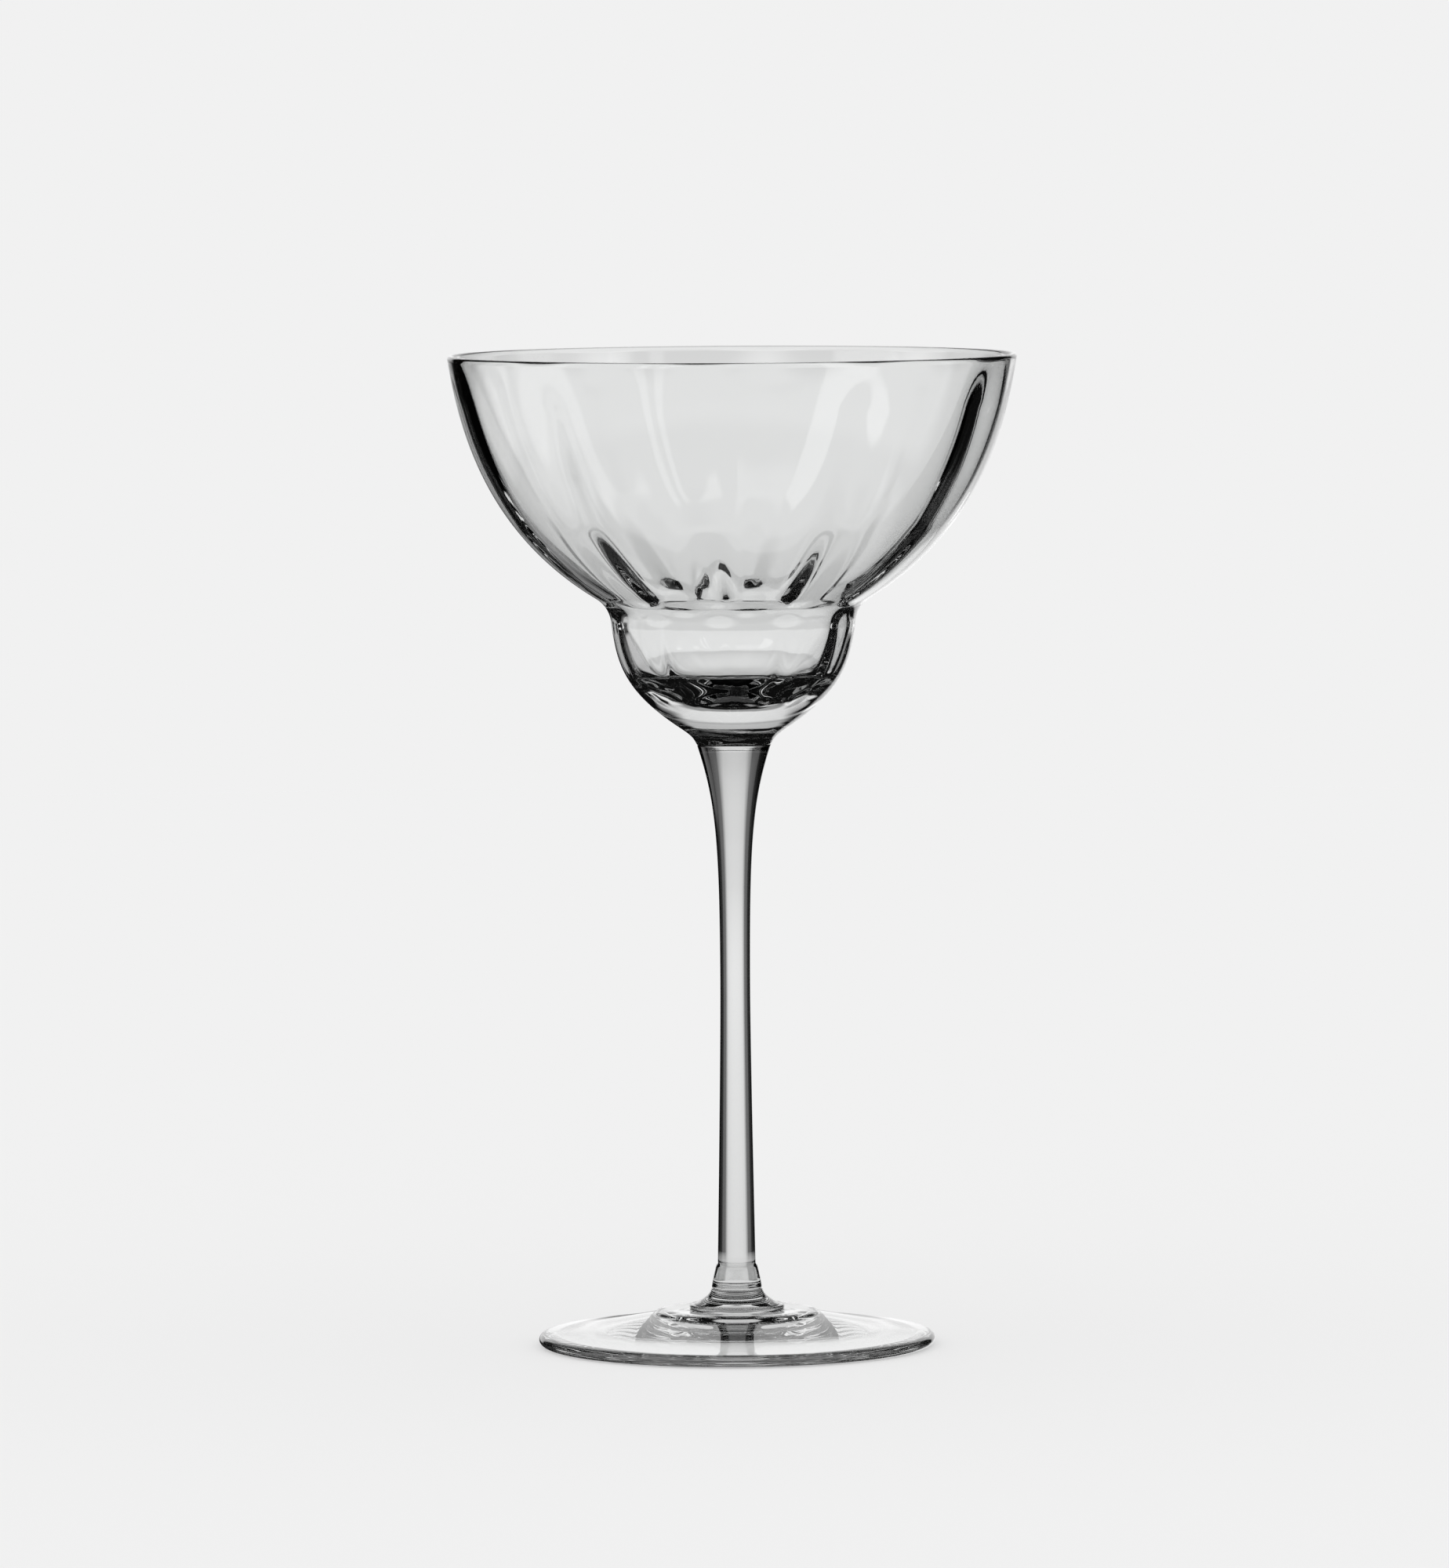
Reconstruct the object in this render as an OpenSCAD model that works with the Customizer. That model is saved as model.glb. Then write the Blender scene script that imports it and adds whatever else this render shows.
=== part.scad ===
// Stepped cocktail glass with soft optic lobes, in clear glass.
// A wide upper bowl steps down into a small lower cup. The cup is fused to a slender
// drawn stem, and the stem to a bell-shaped collar and a disc foot. The outside of the
// bowl is smooth, and its inside is blown into lobes with a rounded ridge between them.
// The origin is the centre of the plane that the foot stands on, and +Z is up.

/* [Upper bowl] */
// Diameter over the rim
rim_d = 114.5; // [105:0.5:125]
// Height from the shoulder up to the rim
upper_h = 49; // [42:1:56]
// Diameter over the shoulder, where the upper bowl turns down into the step
shoulder_d = 55.3; // [53:0.1:60]
// Thickness of the wall at the rim
rim_wall = 1.2; // [1:0.1:1.8]
// Thickness of the wall at the shoulder
shoulder_wall = 2.6; // [2.2:0.1:3.4]

/* [Lower cup] */
// Height of the hollow step between the cup's mouth and the shoulder
step_h = 4.8; // [3.8:0.1:6.5]
// Diameter over the cup's mouth
cup_d = 49.2; // [46:0.1:51]
// Height of the cup's round body, from its heel to its mouth
cup_h = 21.2; // [18:0.1:25]
// Diameter over the heel, where the cup turns down to the stem
heel_d = 22.2; // [19:0.1:25]
// Height of the hollow between the joint and the heel
heel_h = 3.5; // [2.8:0.1:4.5]
// Thickness of the wall at the cup's mouth
cup_wall = 3; // [2.6:0.1:4]
// Depth of solid glass between the joint and the middle of the cup's floor
floor_depth = 10.6; // [9:0.1:12]
// Diameter over the corner where the cup's wall turns into its dished floor
floor_d = 34.6; // [31:0.1:36]
// Rise of the dished floor from its middle to that corner
dish_h = 4.4; // [3:0.1:5]

/* [Optic lobes] */
// Number of lobes round the bowl
lobes = 10; // [8:1:12]
// Turn of the lobes about the axis, in degrees
lobe_turn = 11; // [0:1:36]
// Height of a ridge at the rim
rim_ridge = 0.1; // [0.05:0.05:0.3]
// Height of a ridge halfway up the upper bowl
wall_ridge = 0.8; // [0.3:0.05:1.1]
// Height of a ridge at the shoulder, where the lobes were blown out least
shoulder_ridge = 2.4; // [0.8:0.1:2.8]
// Height of a ridge where it has fallen off a third of the way up the upper bowl
low_ridge = 0.5; // [0.1:0.05:0.9]
// Height of a ridge in the lower cup
cup_ridge = 0.4; // [0.1:0.05:0.6]

/* [Stem] */
// Diameter of the fused joint between the bowl and the stem
joint_d = 15; // [13:0.1:16.5]
// Height of the flare under the joint
flare_h = 48.5; // [40:0.5:56]
// Diameter of the stem's waist
waist_d = 6.05; // [5.6:0.05:6.6]
// Height of the slow taper below the waist
taper_h = 56.6; // [45:0.1:65]
// Diameter at the taper's lower end
taper_d = 7.66; // [7:0.02:8]
// Height of the stem's cone-shaped end below the taper
cone_h = 5; // [4:0.1:6]
// Diameter at the top of the cone
cone_top_d = 8.3; // [8.1:0.1:8.8]
// Diameter at the bottom of the cone
cone_d = 10.1; // [9.4:0.1:10.3]

/* [Collar] */
// Height of the collar
collar_h = 4.2; // [3.6:0.1:5]
// Diameter of the collar's neck
neck_d = 10.4; // [10.4:0.1:11]
// Diameter over the collar's lip
lip_d = 19.2; // [17.5:0.1:20.5]
// Height of the collar's lip
lip_h = 1; // [0.8:0.1:1.2]

/* [Foot] */
// Diameter of the foot
foot_d = 80; // [72:1:88]
// Height of the foot at the seat of the collar
foot_h = 7.2; // [6.2:0.1:8]
// Thickness of the foot at its edge
edge_h = 2.4; // [2.2:0.1:3.2]
// Depth of the round of the edge
edge_round = 1.5; // [1.2:0.1:1.8]
// Diameter over the low swell round the collar
swell_d = 33.5; // [30:0.5:36]
// Height of the swell above the slope of the foot
swell_h = 0.8; // [0.5:0.1:1.4]
// Width of the flat ring that the foot stands on
stand_w = 2.2; // [1.6:0.1:3]
// Height of the hollow under the foot, which keeps the disc thin
hollow_h = 3.4; // [2.6:0.1:3.8]

/* [Hidden] */

// Colours of the clear glass, thin in the bowl and denser in the solid pieces
thin_glass = [0.86, 0.90, 0.89, 0.45];
solid_glass = [0.80, 0.85, 0.85, 0.60];

// Segments of a full turn on the round pieces
$fn = 144;
// Loft steps round one lobe
lobe_steps = 10;
// Power that narrows the rounded ridges between the lobes
ridge_power = 7;
// Overrun of the cavity above the rim
overrun = 0.5;
// Radius that rounds the lip, as a share of the wall there
lip_round_share = 0.44;
// Round of the stem's lower end and of the collar's neck
end_round = 0.35;
// Height of the small ledge where the taper meets the cone
ledge_h = 0.4;
// Depth of the groove above the collar's lip
groove = 0.25;
// Step in and down of the groove, as shares of its depth
groove_shares = [0.3, -1];
// Fall of the swell's shoulder and dip of its top, as shares of its height
swell_fall_share = 1.6;
swell_dip_share = 0.125;

// Heights of the joints and turning points, from the foot upwards
collar_z = foot_h;
stem_z = collar_z + collar_h;
cone_z = stem_z + cone_h;
waist_z = cone_z + taper_h;
joint_z = waist_z + flare_h;
heel_z = joint_z + heel_h;
cup_z = heel_z + cup_h;
shoulder_z = cup_z + step_h;
rim_z = shoulder_z + upper_h;

// Leans of the outline from the vertical, in degrees, positive where it runs inwards
rim_lean = 9.3;
shoulder_lean = 58.7;
mouth_lean = 7;
heel_lean = 56;
joint_lean = 27;
inner_mouth_lean = 2;
corner_lean = 70;
level_lean = 90;
flare_lean = 18;
waist_lean = 0;
taper_lean = -0.8;
cone_leans = [-13, -8];
neck_leans = [-20, -56];
seat_leans = [-86, -80];
swell_lean = -76;
slope_leans = [-80, -84];
hollow_lean = 98;

// Handles of each curved span, as shares of its chord
wall_reach_shares = [0.23, 0.47];
step_reach_shares = [0.36, 0.36];
cup_reach_shares = [0.34, 0.52];
heel_reach_shares = [0.56, 0.34];
flare_reach_shares = [0.24, 0.62];
taper_reach_shares = [0.24, 0.1];
inner_wall_reach_shares = [0.2, 0.45];
inner_step_reach_shares = [0.33, 0.3];
corner_reach_shares = [0.34, 0.15];
dish_reach_shares = [0.4, 0.65];
swell_reach_shares = [0.42, 0.42];
hollow_reach_shares = [0.3, 0.5];
even_reach_shares = [0.36, 0.36];

// A direction down the outline that leans inwards from the vertical
function heading(lean) = [-sin(lean), -cos(lean)];

// A point at share t of the Bezier span from p down to q
function span_point(p, q, leans, reach_shares, t) =
    let (chord = norm(q - p),
         a = p + heading(leans[0]) * reach_shares[0] * chord,
         b = q - heading(leans[1]) * reach_shares[1] * chord,
         s = 1 - t)
    s*s*s * p + 3*s*s*t * a + 3*s*t*t * b + t*t*t * q;

// The points of a span after its first one, so that spans follow each other
function span(p, q, leans, reach_shares, steps) =
    [for (i = [1 : steps]) span_point(p, q, leans, reach_shares, i / steps)];

// The points of an arc of an ellipse
function arc(centre, radii, start, end, steps) =
    [for (i = [0 : steps])
        let (a = start + (end - start) * i / steps)
        centre + [radii[0] * cos(a), radii[1] * sin(a)]];

// Turning points of the bowl's outside
shoulder_p = [shoulder_d / 2, shoulder_z];
mouth_p = [cup_d / 2, cup_z];
heel_p = [heel_d / 2, heel_z];
joint_p = [joint_d / 2, joint_z];
lip_round = rim_wall * lip_round_share;
lip_p = [rim_d / 2 - lip_round, rim_z - lip_round];
rim_p = [rim_d / 2, lip_p.y];

// Outside of the bowl, from the rim down to the joint
outer_outline = concat(
    arc(lip_p, [lip_round, lip_round], 90, 0, 5),
    span(rim_p, shoulder_p, [rim_lean, shoulder_lean], wall_reach_shares, 18),
    span(shoulder_p, mouth_p, [shoulder_lean, mouth_lean], step_reach_shares, 8),
    span(mouth_p, heel_p, [mouth_lean, heel_lean], cup_reach_shares, 14),
    span(heel_p, joint_p, [heel_lean, joint_lean], heel_reach_shares, 6));

// Turning points of the bowl's inside, each set off from the outside by the wall
inner_rim_p = [rim_d / 2 - rim_wall, lip_p.y];
inner_lip_p = inner_rim_p + [lip_round, 0];
inner_shoulder_p = shoulder_p + shoulder_wall * [-cos(shoulder_lean), sin(shoulder_lean)];
inner_mouth_p = [mouth_p.x - cup_wall, cup_z];
floor_p = [0, joint_z + floor_depth];
corner_p = [floor_d / 2, floor_p.y + dish_h];
// Angle at which the lip's inner round runs on into the overrun
lip_end = 60;

lip_arc = arc(inner_lip_p, [lip_round, lip_round], 180 - lip_end, 180, 3);
mouth_over_p = lip_arc[0] + overrun * [1 / tan(90 - lip_end), 1];

// Inside of the bowl between the ridges, from above the rim down to the floor
inner_outline = concat(
    [mouth_over_p],
    lip_arc,
    span(inner_rim_p, inner_shoulder_p, [rim_lean, shoulder_lean],
         inner_wall_reach_shares, 18),
    span(inner_shoulder_p, inner_mouth_p, [shoulder_lean, inner_mouth_lean],
         inner_step_reach_shares, 8),
    span(inner_mouth_p, corner_p, [inner_mouth_lean, corner_lean], corner_reach_shares, 7),
    span(corner_p, floor_p, [corner_lean, level_lean], dish_reach_shares, 7));

// Places up the wall, from the inner shoulder to the rim, where a ridge has fallen off
// above its crest, and between which it stands even again, as shares
fall_share = 0.3;
wall_shares = [0.5, 0.8];
function up_wall(share) = inner_shoulder_p.y + (rim_z - inner_shoulder_p.y) * share;

// Height of the ridges at a height of the bowl. They die out at the throat of the step,
// stand up to a crest on the shoulder just above it, and fade into the rim.
function ridge_height(z) = lookup(z, [
    [floor_p.y, 0],
    [corner_p.y, cup_ridge],
    [inner_mouth_p.y, cup_ridge],
    [shoulder_z, 0],
    [inner_shoulder_p.y, shoulder_ridge],
    [up_wall(fall_share), low_ridge],
    [up_wall(wall_shares[0]), wall_ridge],
    [up_wall(wall_shares[1]), wall_ridge],
    [lip_p.y, rim_ridge]]);

// How far a ridge stands in at an angle, from 0 in a lobe to 1 on a ridge
function ridge_shape(a) = pow(abs(cos((a - lobe_turn) * lobes / 2)), ridge_power);

// The cavity: one loft of lobed rings, closed by its mouth and by the floor's centre
module cavity() {
    turns = lobes * lobe_steps;
    rings = [for (i = [0 : len(inner_outline) - 2]) inner_outline[i]];
    last = len(rings) - 1;
    points = concat(
        [for (p = rings, k = [0 : turns - 1])
            let (a = lobe_turn + 360 * k / turns,
                 r = p.x - ridge_height(p.y) * ridge_shape(a))
            [r * cos(a), r * sin(a), p.y]],
        [[0, 0, floor_p.y]]);
    walls = [for (i = [0 : last - 1], k = [0 : turns - 1], half = [0, 1])
        let (n = (k + 1) % turns, a = i * turns, b = a + turns)
        half == 0 ? [a + k, b + n, b + k] : [a + k, a + n, b + n]];
    mouth = [[for (k = [0 : turns - 1]) turns - 1 - k]];
    floor_fan = [for (k = [0 : turns - 1])
        [last * turns + k, last * turns + (k + 1) % turns, len(points) - 1]];
    polyhedron(points, concat(walls, mouth, floor_fan));
}

module bowl() {
    color(thin_glass)
        difference() {
            rotate_extrude()
                polygon(concat([[0, rim_z]], outer_outline, [[0, joint_z]]));
            cavity();
        }
}

// Turning points of the stem
waist_p = [waist_d / 2, waist_z];
taper_p = [taper_d / 2, cone_z];
cone_top_p = [cone_top_d / 2, cone_z - ledge_h];
cone_p = [cone_d / 2, stem_z + end_round];

stem_outline = concat(
    [joint_p],
    span(joint_p, waist_p, [flare_lean, waist_lean], flare_reach_shares, 20),
    span(waist_p, taper_p, [waist_lean, taper_lean], taper_reach_shares, 8),
    [cone_top_p],
    span(cone_top_p, cone_p, cone_leans, even_reach_shares, 4),
    arc(cone_p - [end_round, 0], [end_round, end_round], -20, -90, 3));

module stem() {
    color(solid_glass)
        rotate_extrude()
            polygon(concat([[0, joint_z]], stem_outline, [[0, stem_z]]));
}

// Turning points of the collar
neck_p = [neck_d / 2, stem_z - end_round];
lip_top_p = [lip_d / 2 - lip_h, collar_z + lip_h];
lip_centre = [lip_d / 2 - lip_h / 2, collar_z + lip_h / 2];

collar_outline = concat(
    arc(neck_p - [end_round, 0], [end_round, end_round], 90, 0, 3),
    span(neck_p, lip_top_p, neck_leans, even_reach_shares, 8),
    [lip_top_p + groove * groove_shares],
    arc(lip_centre, [lip_h / 2, lip_h / 2], 70, -90, 7));

module foot_collar() {
    color(solid_glass)
        rotate_extrude()
            polygon(concat([[0, stem_z]], collar_outline, [[0, collar_z]]));
}

// Turning points of the foot
edge_centre = [foot_d / 2 - edge_round, edge_h / 2];
edge_p = [edge_centre.x, edge_h];
seat_p = [lip_d / 2, foot_h];
swell_fall = swell_h * swell_fall_share;
swell_top_p = [swell_d / 2 - swell_fall, foot_h - swell_h * swell_dip_share];
slope_top_p = [swell_d / 2 + swell_h, foot_h - swell_fall];
stand_p = [edge_centre.x - stand_w, 0];

foot_outline = concat(
    [seat_p],
    span(seat_p, swell_top_p, seat_leans, even_reach_shares, 3),
    span(swell_top_p, slope_top_p, [swell_lean, swell_lean], swell_reach_shares, 8),
    span(slope_top_p, edge_p, slope_leans, even_reach_shares, 8),
    arc(edge_centre, [edge_round, edge_h / 2], 80, -90, 10),
    [stand_p],
    span(stand_p, [0, hollow_h], [hollow_lean, level_lean], hollow_reach_shares, 10));

module foot() {
    color(solid_glass)
        rotate_extrude()
            polygon(concat([[0, foot_h]], foot_outline));
}

bowl();
stem();
foot_collar();
foot();
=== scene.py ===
import math
import bpy
from mathutils import Matrix


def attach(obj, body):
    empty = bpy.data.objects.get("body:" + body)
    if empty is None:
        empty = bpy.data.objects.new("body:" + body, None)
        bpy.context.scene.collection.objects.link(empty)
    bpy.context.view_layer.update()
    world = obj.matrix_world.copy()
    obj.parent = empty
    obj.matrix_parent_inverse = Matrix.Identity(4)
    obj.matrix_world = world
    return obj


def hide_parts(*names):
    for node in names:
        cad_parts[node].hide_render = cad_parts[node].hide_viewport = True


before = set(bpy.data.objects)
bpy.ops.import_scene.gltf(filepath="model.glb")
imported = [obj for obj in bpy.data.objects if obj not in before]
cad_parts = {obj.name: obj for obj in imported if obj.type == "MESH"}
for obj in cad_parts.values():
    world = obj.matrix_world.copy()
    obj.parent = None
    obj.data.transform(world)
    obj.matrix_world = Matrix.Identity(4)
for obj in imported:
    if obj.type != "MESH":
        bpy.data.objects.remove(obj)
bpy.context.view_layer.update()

scene = bpy.context.scene

# Sizes of the glass in millimetres, the same as in the CAD model
MM = 0.001
RIM_D = 114.5
UPPER_H = 49
SHOULDER_D = 55.3
RIM_WALL = 1.2
SHOULDER_WALL = 2.6
STEP_H = 4.8
CUP_D = 49.2
CUP_H = 21.2
CUP_WALL = 3
HEEL_D = 22.2
HEEL_H = 3.5
FLOOR_DEPTH = 10.6
FLOOR_D = 34.6
DISH_H = 4.4
JOINT_D = 15
FLARE_H = 48.5
WAIST_D = 6.05
TAPER_H = 56.6
TAPER_D = 7.66
CONE_H = 5
CONE_TOP_D = 8.3
CONE_D = 10.1
LEDGE_H = 0.4
COLLAR_H = 4.2
NECK_D = 10.4
LIP_D = 19.2
LIP_H = 1
GROOVE = 0.25
END_ROUND = 0.35
FOOT_D = 80
FOOT_H = 7.2
EDGE_H = 2.4
EDGE_ROUND = 1.5
SWELL_D = 33.5
SWELL_H = 0.8
STAND_W = 2.2
HOLLOW_H = 3.4

# Heights of the joints and of the turning points, from the foot up
COLLAR_Z = FOOT_H
STEM_Z = COLLAR_Z + COLLAR_H
CONE_Z = STEM_Z + CONE_H
WAIST_Z = CONE_Z + TAPER_H
JOINT_Z = WAIST_Z + FLARE_H
HEEL_Z = JOINT_Z + HEEL_H
CUP_Z = HEEL_Z + CUP_H
SHOULDER_Z = CUP_Z + STEP_H
RIM_Z = SHOULDER_Z + UPPER_H
FLOOR_Z = JOINT_Z + FLOOR_DEPTH

# Half width and height of the rim's fire-polished round, and where the outline meets it
RIM_ROUND = (RIM_WALL / 2, 0.55)
RIM = (RIM_D / 2, RIM_Z - RIM_ROUND[1])

# Leans of the outlines at their turning points, in degrees from straight down, inwards positive
RIM_LEAN = 9.3
SHOULDER_LEAN = 58.7
MOUTH_LEAN = 7
HEEL_LEAN = 56
JOINT_LEAN = 27
INNER_MOUTH_LEAN = 2
CORNER_LEAN = 70
LEVEL_LEAN = 90

# The optic ridges inside the bowl, and how far they stand in at each height: low in the cup, none
# at the throat of the step, a crest on the shoulder, and fading into the rim
LOBES = 10
LOBE_TURN = 11
RIDGE_POWER = 7
CUP_RIDGE = 0.4
CREST_RIDGE = 2.4
LOW_RIDGE = 0.5
WALL_RIDGE = 0.8
RIM_RIDGE = 0.1
RIDGES = [(FLOOR_Z, 0), (FLOOR_Z + DISH_H, CUP_RIDGE), (CUP_Z, CUP_RIDGE), (SHOULDER_Z, 0),
          (SHOULDER_Z + 2.2, CREST_RIDGE), (SHOULDER_Z + 16.3, LOW_RIDGE), (SHOULDER_Z + 25.6, WALL_RIDGE),
          (SHOULDER_Z + 39.6, WALL_RIDGE), (RIM_Z - 0.5, RIM_RIDGE)]

# Points round each piece
BOWL_TURNS = 240
FOOT_TURNS = 180


# Curves of the outlines
def heading(lean):
    return (-math.sin(math.radians(lean)), -math.cos(math.radians(lean)))


def span(start, end, leans, reach_shares, steps):
    """Points of one smooth curve from start to end, without the first."""
    chord = math.dist(start, end)
    leaving = heading(leans[0])
    arriving = heading(leans[1])
    a = [start[i] + leaving[i] * reach_shares[0] * chord for i in (0, 1)]
    b = [end[i] - arriving[i] * reach_shares[1] * chord for i in (0, 1)]
    points = []
    for k in range(1, steps + 1):
        t = k / steps
        s = 1 - t
        points.append(tuple(s**3 * start[i] + 3 * s * s * t * a[i] + 3 * s * t * t * b[i] + t**3 * end[i]
                            for i in (0, 1)))
    return points


def arc(centre, radii, start, end, steps):
    points = []
    for k in range(steps + 1):
        angle = math.radians(start + (end - start) * k / steps)
        points.append((centre[0] + radii[0] * math.cos(angle), centre[1] + radii[1] * math.sin(angle)))
    return points


EVEN_SHARES = (0.36, 0.36)


def bowl_outside():
    """From the rim down to the joint."""
    shoulder = (SHOULDER_D / 2, SHOULDER_Z)
    mouth = (CUP_D / 2, CUP_Z)
    heel = (HEEL_D / 2, HEEL_Z)
    points = [RIM]
    points += span(RIM, shoulder, (RIM_LEAN, SHOULDER_LEAN), (0.23, 0.47), 60)
    points += span(shoulder, mouth, (SHOULDER_LEAN, MOUTH_LEAN), EVEN_SHARES, 24)
    points += span(mouth, heel, (MOUTH_LEAN, HEEL_LEAN), (0.34, 0.52), 40)
    points += span(heel, (JOINT_D / 2, JOINT_Z), (HEEL_LEAN, JOINT_LEAN), (0.56, 0.34), 16)
    return points


def bowl_inside():
    """From the rim down to just before the middle of the floor, between the ridges."""
    lean = math.radians(SHOULDER_LEAN)
    rim = (RIM[0] - RIM_WALL, RIM[1])
    shoulder = (SHOULDER_D / 2 - SHOULDER_WALL * math.cos(lean), SHOULDER_Z + SHOULDER_WALL * math.sin(lean))
    mouth = (CUP_D / 2 - CUP_WALL, CUP_Z)
    corner = (FLOOR_D / 2, FLOOR_Z + DISH_H)
    points = [rim]
    points += span(rim, shoulder, (RIM_LEAN, SHOULDER_LEAN), (0.2, 0.45), 60)
    points += span(shoulder, mouth, (SHOULDER_LEAN, INNER_MOUTH_LEAN), (0.33, 0.3), 24)
    points += span(mouth, corner, (INNER_MOUTH_LEAN, CORNER_LEAN), (0.34, 0.15), 40)
    points += span(corner, (0, FLOOR_Z), (CORNER_LEAN, LEVEL_LEAN), (0.4, 0.65), 40)
    return points[:-1]


def stem_outline():
    """From the bowl down, with the ledge and the cone at the lower end."""
    joint = (JOINT_D / 2, JOINT_Z)
    waist = (WAIST_D / 2, WAIST_Z)
    taper = (TAPER_D / 2, CONE_Z)
    cone_top = (CONE_TOP_D / 2, CONE_Z - LEDGE_H)
    cone = (CONE_D / 2, STEM_Z + END_ROUND)
    points = [joint]
    points += span(joint, waist, (18, 0), (0.24, 0.62), 80)
    points += span(waist, taper, (0, -0.8), (0.24, 0.1), 40)
    points += [cone_top]
    points += span(cone_top, cone, (-13, -8), EVEN_SHARES, 12)
    points += arc((cone[0] - END_ROUND, cone[1]), (END_ROUND, END_ROUND), -10, -90, 8)
    return points


def collar_outline():
    """From the neck down over the bell, with a groove above the lip."""
    neck = (NECK_D / 2, STEM_Z - END_ROUND)
    lip_top = (LIP_D / 2 - LIP_H, COLLAR_Z + LIP_H)
    points = arc((neck[0] - END_ROUND, neck[1]), (END_ROUND, END_ROUND), 90, 10, 8)
    points += span(neck, lip_top, (-20, -56), EVEN_SHARES, 24)
    points += [(lip_top[0] + GROOVE * 0.3, lip_top[1] - GROOVE)]
    points += arc(((LIP_D - LIP_H) / 2, COLLAR_Z + LIP_H / 2), (LIP_H / 2, LIP_H / 2), 70, -90, 20)
    return points


def foot_outline():
    """From the collar out over the swell and the slope, round the edge and up into the hollow."""
    fall = SWELL_H * 1.6
    edge = (FOOT_D / 2 - EDGE_ROUND, EDGE_H / 2)
    seat = (LIP_D / 2, FOOT_H)
    swell_top = (SWELL_D / 2 - fall, FOOT_H - SWELL_H / 8)
    slope_top = (SWELL_D / 2 + SWELL_H, FOOT_H - fall)
    stand = (edge[0] - STAND_W, 0)
    points = [seat]
    points += span(seat, swell_top, (-86, -80), EVEN_SHARES, 12)
    points += span(swell_top, slope_top, (-76, -76), (0.42, 0.42), 24)
    points += span(slope_top, (edge[0], EDGE_H), (-80, -84), EVEN_SHARES, 40)
    points += arc(edge, (EDGE_ROUND, EDGE_H / 2), 80, -90, 24)
    points += [stand]
    points += span(stand, (0, HOLLOW_H), (98, LEVEL_LEAN), (0.3, 0.5), 40)[:-1]
    return points


def ridge_height(z):
    """How far the ridges stand in at height z."""
    if z <= RIDGES[0][0]:
        return RIDGES[0][1]
    for (low_z, low), (high_z, high) in zip(RIDGES, RIDGES[1:]):
        if z <= high_z:
            return low + (high - low) * (z - low_z) / (high_z - low_z)
    return RIDGES[-1][1]


# Solids
OPEN_GLASS = 0
JOINT_FACE = 1


def lathe(outline, ridges, turns, bottom, top):
    """A closed body of revolution from the bottom up. ridges gives how far a ridge stands in at each
    point. bottom and top are the height of each end's middle and the material of its faces."""
    verts = []
    for (r, z), deep in zip(outline, ridges):
        for k in range(turns):
            angle = 2 * math.pi * k / turns
            ridge = abs(math.cos(angle * LOBES / 2))**RIDGE_POWER
            reach = (r - deep * ridge) * MM
            turned = angle + math.radians(LOBE_TURN)
            verts.append((reach * math.cos(turned), reach * math.sin(turned), z * MM))
    faces = []
    slots = []
    last = (len(outline) - 1) * turns
    for row in range(0, last, turns):
        for k in range(turns):
            j = (k + 1) % turns
            faces.append((row + k, row + j, row + turns + j, row + turns + k))
            slots.append(OPEN_GLASS)
    top_middle = len(verts)
    bottom_middle = top_middle + 1
    verts.append((0, 0, top[0] * MM))
    verts.append((0, 0, bottom[0] * MM))
    for k in range(turns):
        j = (k + 1) % turns
        faces.append((last + k, last + j, top_middle))
        slots.append(top[1])
        faces.append((k, bottom_middle, j))
        slots.append(bottom[1])
    return verts, faces, slots


def piece(name, body, material, node):
    """A piece of the glass that stands for a CAD node."""
    verts, faces, slots = body
    mesh = bpy.data.meshes.new(name)
    mesh.from_pydata(verts, [], faces)
    mesh.materials.append(material)
    mesh.materials.append(joint)
    mesh.polygons.foreach_set("material_index", slots)
    mesh.polygons.foreach_set("use_smooth", [slot == OPEN_GLASS for slot in slots])
    mesh.update()
    thing = bpy.data.objects.new(name, mesh)
    scene.collection.objects.link(thing)
    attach(thing, "root")
    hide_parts(node)


def revolved(name, outline, bottom, top, material, node):
    """A piece without ridges, from an outline that runs down."""
    body = lathe(outline[::-1], [0] * len(outline), FOOT_TURNS, bottom, top)
    piece(name, body, material, node)


# Materials
TINT = (0.975, 0.98, 0.978)
GLASS_IOR = 1.5
MELT_GRAIN = 25


def ramp(nodes, stops):
    """A colour ramp. A stop is a place from 0 to 1 and a grey or a colour."""
    node = nodes.new("ShaderNodeValToRGB")
    bar = node.color_ramp
    while len(bar.elements) < len(stops):
        bar.elements.new(0.5)
    for element, (place, value) in zip(bar.elements, stops):
        element.position = place
        element.color = (*value, 1) if isinstance(value, tuple) else (value, value, value, 1)
    return node


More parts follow.
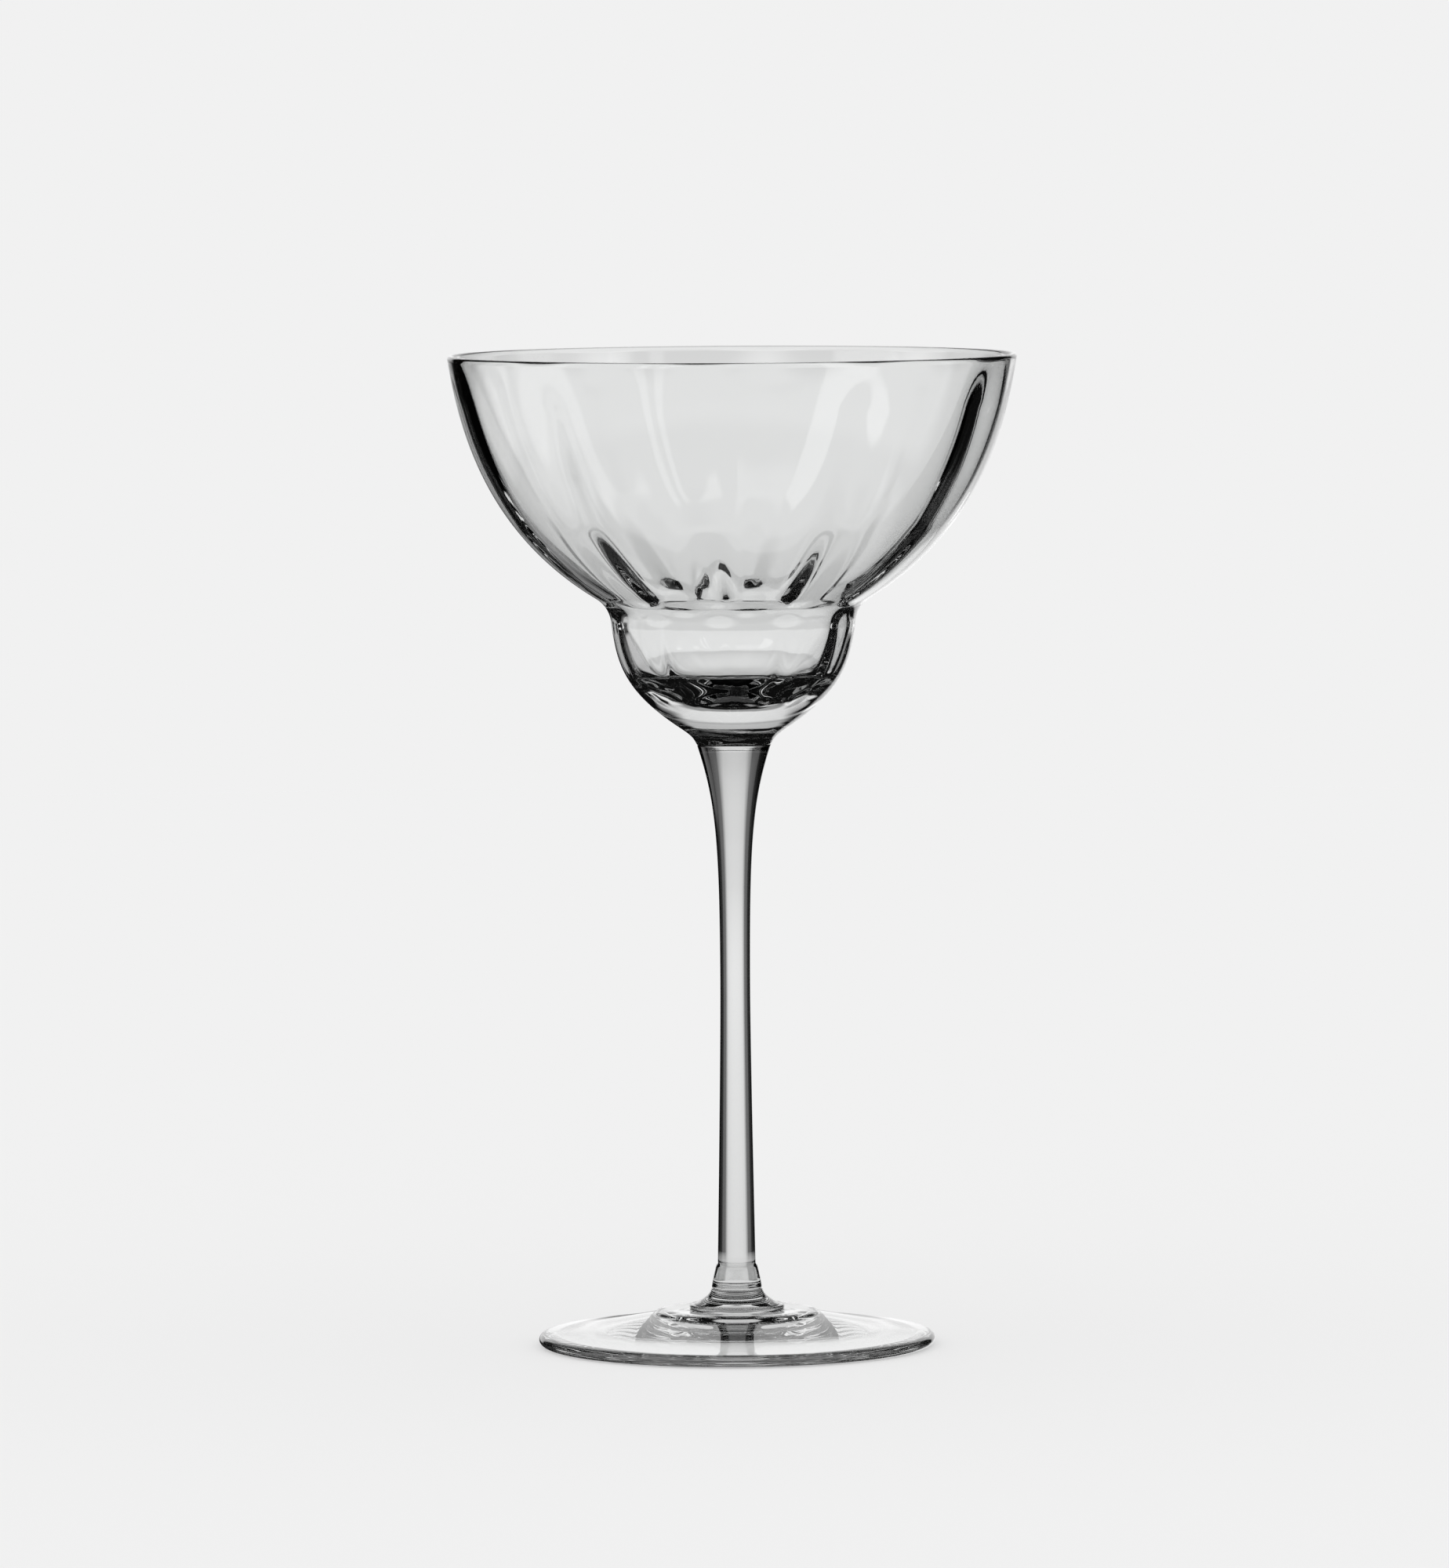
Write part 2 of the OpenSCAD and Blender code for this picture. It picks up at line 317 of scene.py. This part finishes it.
def glass(name, grain, stretch, ripple_depth):
    """Clear glass. Its tone wanders a little, and grain, stretch and ripple_depth give the size, the
    direction and the depth of the faint ripple that working the hot glass leaves."""
    material = bpy.data.materials.new(name)
    material.use_nodes = True
    nodes = material.node_tree.nodes
    link = material.node_tree.links.new
    shader = nodes["Principled BSDF"]
    shader.inputs["Transmission Weight"].default_value = 1
    shader.inputs["Roughness"].default_value = 0
    shader.inputs["IOR"].default_value = GLASS_IOR
    place = nodes.new("ShaderNodeTexCoord")
    scale = nodes.new("ShaderNodeMapping")
    scale.inputs["Scale"].default_value = stretch
    link(place.outputs["Object"], scale.inputs["Vector"])
    ripple = nodes.new("ShaderNodeTexNoise")
    ripple.inputs["Scale"].default_value = grain
    ripple.inputs["Detail"].default_value = 2
    link(scale.outputs["Vector"], ripple.inputs["Vector"])
    raised = nodes.new("ShaderNodeBump")
    raised.inputs["Strength"].default_value = 1
    raised.inputs["Distance"].default_value = ripple_depth * MM
    link(ripple.outputs["Fac"], raised.inputs["Height"])
    link(raised.outputs["Normal"], shader.inputs["Normal"])
    melt = nodes.new("ShaderNodeTexNoise")
    melt.inputs["Scale"].default_value = MELT_GRAIN
    link(place.outputs["Object"], melt.inputs["Vector"])
    tone = ramp(nodes, [(0.3, tuple(v - 0.008 for v in TINT)), (0.7, tuple(v + 0.004 for v in TINT))])
    link(melt.outputs["Fac"], tone.inputs["Fac"])
    link(tone.outputs["Color"], shader.inputs["Base Color"])
    return material


# Painted shade: tones of the stem's edges from facing the eye to grazing, painted dark where they graze, and
# the heights between which they set in
STEM_PAINTED_EDGE_SHADE = [(0, 1), (0.05, 0.96), (0.12, 0.8), (0.16, 0.35), (0.21, 0.03), (0.4, 0.005), (1, 0.005)]
STEM_PAINTED_EDGE_SHADE_Z = (15, 19)

# Painted shade: height and tone at the stem's darker lower end, and the height where this painted shade ends
STEM_PAINTED_SHADE_LOW = (20, 0.86)
STEM_PAINTED_SHADE_END = (80, 1)


def paint_stem_shade(material):
    """Painted shade: the stem's edges are painted dark where they turn away from the eye, and its lower end
    is painted a little deeper in tone.
    """
    nodes = material.node_tree.nodes
    link = material.node_tree.links.new
    base_colour = nodes["Principled BSDF"].inputs["Base Color"]
    colour = base_colour.links[0].from_socket
    # Painted shade on the edges: the base colour is darkened the more the surface turns away from the eye
    facing = nodes.new("ShaderNodeLayerWeight")
    facing.inputs["Blend"].default_value = 0.5
    painted_edge_shade = ramp(nodes, STEM_PAINTED_EDGE_SHADE)
    link(facing.outputs["Facing"], painted_edge_shade.inputs["Fac"])
    place = nodes.new("ShaderNodeTexCoord")
    split = nodes.new("ShaderNodeSeparateXYZ")
    link(place.outputs["Object"], split.inputs["Vector"])
    there = nodes.new("ShaderNodeMapRange")
    there.inputs["From Min"].default_value = STEM_PAINTED_EDGE_SHADE_Z[0] * MM
    there.inputs["From Max"].default_value = STEM_PAINTED_EDGE_SHADE_Z[1] * MM
    link(split.outputs["Z"], there.inputs["Value"])
    edge_shaded_colour = nodes.new("ShaderNodeMix")
    edge_shaded_colour.data_type = "RGBA"
    edge_shaded_colour.blend_type = "MULTIPLY"
    link(there.outputs["Result"], edge_shaded_colour.inputs["Factor"])
    link(colour, edge_shaded_colour.inputs["A"])
    link(painted_edge_shade.outputs["Color"], edge_shaded_colour.inputs["B"])
    # Painted shade by height: the stem's colour is darker towards its lower end
    painted_shade_by_height = nodes.new("ShaderNodeMapRange")
    painted_shade_by_height.inputs["From Min"].default_value = STEM_PAINTED_SHADE_LOW[0] * MM
    painted_shade_by_height.inputs["From Max"].default_value = STEM_PAINTED_SHADE_END[0] * MM
    painted_shade_by_height.inputs["To Min"].default_value = STEM_PAINTED_SHADE_LOW[1]
    painted_shade_by_height.inputs["To Max"].default_value = STEM_PAINTED_SHADE_END[1]
    link(split.outputs["Z"], painted_shade_by_height.inputs["Value"])
    # The lower end's painted shade is multiplied into the colour here
    deep = nodes.new("ShaderNodeVectorMath")
    deep.operation = "SCALE"
    link(edge_shaded_colour.outputs["Result"], deep.inputs[0])
    link(painted_shade_by_height.outputs["Result"], deep.inputs["Scale"])
    link(deep.outputs["Vector"], base_colour)


def fused():
    """The hidden joint between two gathers of glass, where light goes straight through."""
    material = bpy.data.materials.new("fused_joint")
    material.use_nodes = True
    nodes = material.node_tree.nodes
    nodes.clear()
    out = nodes.new("ShaderNodeOutputMaterial")
    clear = nodes.new("ShaderNodeBsdfTransparent")
    material.node_tree.links.new(clear.outputs["BSDF"], out.inputs["Surface"])
    return material


joint = fused()
bowl_glass = glass("bowl_clear_glass", 60, (1, 1, 0.4), 0.002)
stem_glass = glass("stem_glass_with_painted_shade", 300, (1, 1, 0.05), 0.003)
# The stem's glass gets painted shade: dark edges and a deeper lower end
paint_stem_shade(stem_glass)
foot_glass = glass("foot_clear_glass", 90, (1, 1, 1), 0.004)

# Bowl: up the outside, over the round of the rim and down the inside to the floor
rim_round = arc((RIM[0] - RIM_ROUND[0], RIM[1]), RIM_ROUND, 0, 180, 12)[1:-1]
outside = bowl_outside()[::-1] + rim_round
inside = bowl_inside()
ridges = [0] * len(outside) + [ridge_height(z) for r, z in inside]
body = lathe(outside + inside, ridges, BOWL_TURNS, (JOINT_Z, JOINT_FACE), (FLOOR_Z, OPEN_GLASS))
piece("blown_bowl", body, bowl_glass, "bowl")

# Stem, collar and foot
STEM_TOP = (JOINT_Z, JOINT_FACE)
COLLAR_TOP = (STEM_Z, JOINT_FACE)
FOOT_TOP = (COLLAR_Z, JOINT_FACE)
FOOT_HOLLOW = (HOLLOW_H, OPEN_GLASS)
revolved("drawn_stem", stem_outline(), COLLAR_TOP, STEM_TOP, stem_glass, "stem")
revolved("bell_collar", collar_outline(), FOOT_TOP, COLLAR_TOP, foot_glass, "foot_collar")
revolved("disc_foot", foot_outline(), FOOT_HOLLOW, FOOT_TOP, foot_glass, "foot")

# Camera, solved from the ellipses of the rim and the foot: angles in degrees, places in metres, and
# columns of the photograph in pixels
VIEW_ANGLE = 7.6053
TILT_DOWN = 4.0177
ROLL = 0.318
DISTANCE = 2.19
EYE_Z = 0.26726
HALF_WIDTH_PX = 924
AXIS_PX = 936.4
SENSOR = 36
camera = bpy.data.cameras.new("camera")
eye = bpy.data.objects.new("camera", camera)
scene.collection.objects.link(eye)
scene.camera = eye
half_view = math.tan(math.radians(VIEW_ANGLE) / 2)
camera.sensor_fit = "HORIZONTAL"
camera.sensor_width = SENSOR
camera.lens = SENSOR / 2 / half_view
camera.clip_start = 0.05
camera.clip_end = 60
yaw = Matrix.Rotation(math.atan((AXIS_PX - HALF_WIDTH_PX) / HALF_WIDTH_PX * half_view), 4, "Z")
tilt = Matrix.Rotation(math.pi / 2 - math.radians(TILT_DOWN), 4, "X")
roll = Matrix.Rotation(-math.radians(ROLL), 4, "Z")
eye.matrix_world = Matrix.Translation((0, -DISTANCE, EYE_Z)) @ yaw @ tilt @ roll

# Studio: a world with a pale backdrop, darkness round it and softboxes
PALE = 0.8796
NIGHT = 0.004
world = bpy.data.worlds.new("studio")
scene.world = world
world.use_nodes = True
world.node_tree.nodes.clear()
nodes = world.node_tree.nodes
link = world.node_tree.links.new


def maths(kind, *values):
    node = nodes.new("ShaderNodeMath")
    node.operation = kind
    for socket, value in zip(node.inputs, values):
        if isinstance(value, (int, float)):
            socket.default_value = value
        else:
            link(value, socket)
    return node.outputs[0]


def rise(value, low, high):
    """0 up to low, 1 from high, and a smooth step between."""
    node = nodes.new("ShaderNodeMapRange")
    node.interpolation_type = "SMOOTHSTEP"
    node.inputs["From Min"].default_value = low
    node.inputs["From Max"].default_value = high
    link(value, node.inputs["Value"])
    return node.outputs["Result"]


def within(value, low, high, soft):
    """1 between low and high, and softly down to 0 outside them. None leaves an end open."""
    ends = []
    if low is not None:
        ends.append(rise(value, low - soft, low + soft))
    if high is not None:
        ends.append(maths("SUBTRACT", 1, rise(value, high - soft, high + soft)))
    return ends[0] if len(ends) == 1 else maths("MULTIPLY", *ends)


def by_height(stops):
    """A tone for each height of direction, from -90 below to 90 degrees above."""
    node = nodes.new("ShaderNodeMapRange")
    node.inputs["From Min"].default_value = -90
    node.inputs["From Max"].default_value = 90
    link(height, node.inputs["Value"])
    tones = ramp(nodes, [((angle + 90) / 180, tone) for angle, tone in stops])
    link(node.outputs["Result"], tones.inputs["Fac"])
    return tones.outputs["Color"]


def boxes(rows):
    """Softboxes in the dark, each over the ones before it. A row gives the angle that limits it across,
    its two ends across, its two heights, its tone and the softness of its edges."""
    tones = None
    for angle, (left, right), (low, high), tone, soft in rows:
        share = within(angle, left, right, soft)
        if low is not None or high is not None:
            share = maths("MULTIPLY", share, within(height, low, high, soft))
        node = nodes.new("ShaderNodeMix")
        link(share, node.inputs["Factor"])
        node.inputs["A"].default_value = NIGHT
        if tones:
            link(tones, node.inputs["A"])
        node.inputs["B"].default_value = tone
        tones = node.outputs["Result"]
    return tones


def lit(tone):
    """Light of one tone, or of the tone from a socket."""
    node = nodes.new("ShaderNodeBackground")
    if isinstance(tone, (int, float)):
        node.inputs["Color"].default_value = (tone, tone, tone, 1)
    else:
        link(tone, node.inputs["Color"])
    return node.outputs["Background"]


def either(value, limit, below, above):
    """One light where value is under the limit, and the other over it."""
    node = nodes.new("ShaderNodeMixShader")
    link(maths("GREATER_THAN", value, limit), node.inputs["Fac"])
    link(below, node.inputs[1])
    link(above, node.inputs[2])
    return node.outputs["Shader"]


# Directions in degrees: height above level, turn to the right from straight behind the glass, and
# aside, the same to either side
place = nodes.new("ShaderNodeTexCoord")
split = nodes.new("ShaderNodeSeparateXYZ")
link(place.outputs["Generated"], split.inputs["Vector"])
height = maths("MULTIPLY", maths("ARCSINE", split.outputs["Z"]), 180 / math.pi)
turn = maths("MULTIPLY", maths("ARCTAN2", split.outputs["X"], split.outputs["Y"]), 180 / math.pi)
aside = maths("ABSOLUTE", turn)

# Straight through the glass: pale behind it, a little deeper at the height of the bowl
straight = by_height([(-90, 0.6), (-36, 0.6), (-24, 0.82), (-5, 0.82), (-2.6, 0.68), (18, 0.68), (24, 0.8),
                      (35, PALE), (43, NIGHT), (90, NIGHT)])

# Turned back once inside a wall: pale sides, windows that streak the upper bowl, a screen on the
# left, and the backdrop in patches
once = boxes([
    (aside, (76, None), (None, 15), 0.9, 4),
    (aside, (76, None), (15, None), 0.45, 4),
    (turn, (-136, -108), (10, 70), 2.6, 2),
    (turn, (68, 98), (10, 55), 1.8, 4),
    (turn, (128, 138), (8, 70), 2, 2),
    (turn, (145, 151), (8, 70), 2, 1.5),
    (turn, (None, -135), (58, 78), 1.5, 5),
    (turn, (-75, -50), (-42, 42), 1.1, 4),
    (turn, (-50, -22), (-60, -14), 0.55, 4),
    (aside, (None, 22), (-25, -12), 0.35, 3),
    (aside, (None, 22), (-12, 8), 0.85, 3),
    (aside, (None, 22), (8, 45), 0.6, 3),
    (turn, (52, 78), (10, 45), 0.95, 3),
    (turn, (30, 78), (-62, -42), 0.7, 3)])

# Turned back more often: light only low behind the glass, so that the fold in the cup is black and
# the foot is pale
often = boxes([
    (aside, (None, 30), (0, 22), 0.85, 3),
    (aside, (30, 58), (1, 12), 0.95, 3)])

# Turned back in the far wall
far = boxes([
    (aside, (76, None), (30, None), 0.3, 4),
    (turn, (-20, 70), (-8, 30), 0.4, 4)])

# Off the front of the glass
front = boxes([
    (aside, (78, None), (-32, 60), 0.9, 4),
    (turn, (-75, -46), (-24, -11), 0.95, 3),
    (turn, (1, 23), (-25, -3), 1.25, 3),
    (aside, (None, 24), (-3, 40), 1.1, 3)])

# Each kind of light path meets its own, what the glass isn't in the way of meets plain light, and
# the camera sees the backdrop
PLAIN = 1.0
path = nodes.new("ShaderNodeLightPath")
turned_back = path.outputs["Glossy Depth"]
passed = path.outputs["Transmission Depth"]
inside_walls = either(turned_back, 1.5, lit(once), lit(often))
mirrored = either(passed, 0.5, lit(front), either(passed, 2.5, inside_walls, lit(far)))
unturned = either(passed, 0.5, lit(PLAIN), lit(straight))
around = either(turned_back, 0.5, unturned, mirrored)
out = nodes.new("ShaderNodeOutputWorld")
link(either(path.outputs["Is Camera Ray"], 0.5, around, lit(PALE)), out.inputs["Surface"])

# Floor, in metres: pale and plain, and it takes the glass's faint shadow
FLOOR_R = 1.6
FLOOR_DROP = 0.0002
FLOOR_STEP = 3


def floor_material():
    material = bpy.data.materials.new("pale_floor")
    material.use_nodes = True
    nodes = material.node_tree.nodes
    link = material.node_tree.links.new
    nodes.clear()
    out = nodes.new("ShaderNodeOutputMaterial")
    matt = nodes.new("ShaderNodeBsdfDiffuse")
    matt.inputs["Color"].default_value = (PALE, PALE, PALE, 1)
    glow = nodes.new("ShaderNodeEmission")
    glow.inputs["Color"].default_value = (PALE, PALE, PALE, 1)
    share = nodes.new("ShaderNodeMixShader")
    share.inputs["Fac"].default_value = 0.5
    link(matt.outputs["BSDF"], share.inputs[1])
    link(glow.outputs["Emission"], share.inputs[2])
    link(share.outputs["Shader"], out.inputs["Surface"])
    return material


corners = [(FLOOR_R * math.cos(math.radians(angle)), FLOOR_R * math.sin(math.radians(angle)), -FLOOR_DROP)
           for angle in range(0, 360, FLOOR_STEP)]
mesh = bpy.data.meshes.new("floor")
mesh.from_pydata(corners, [], [tuple(range(len(corners)))])
mesh.materials.append(floor_material())
floor = bpy.data.objects.new("floor", mesh)
scene.collection.objects.link(floor)
floor.visible_glossy = False
floor.visible_transmission = False

# Light goes back and forth in thick glass, so its paths are long
LONG_PATH = 32
scene.cycles.max_bounces = LONG_PATH
scene.cycles.transmission_bounces = LONG_PATH
scene.cycles.glossy_bounces = LONG_PATH
scene.view_settings.view_transform = "Standard"
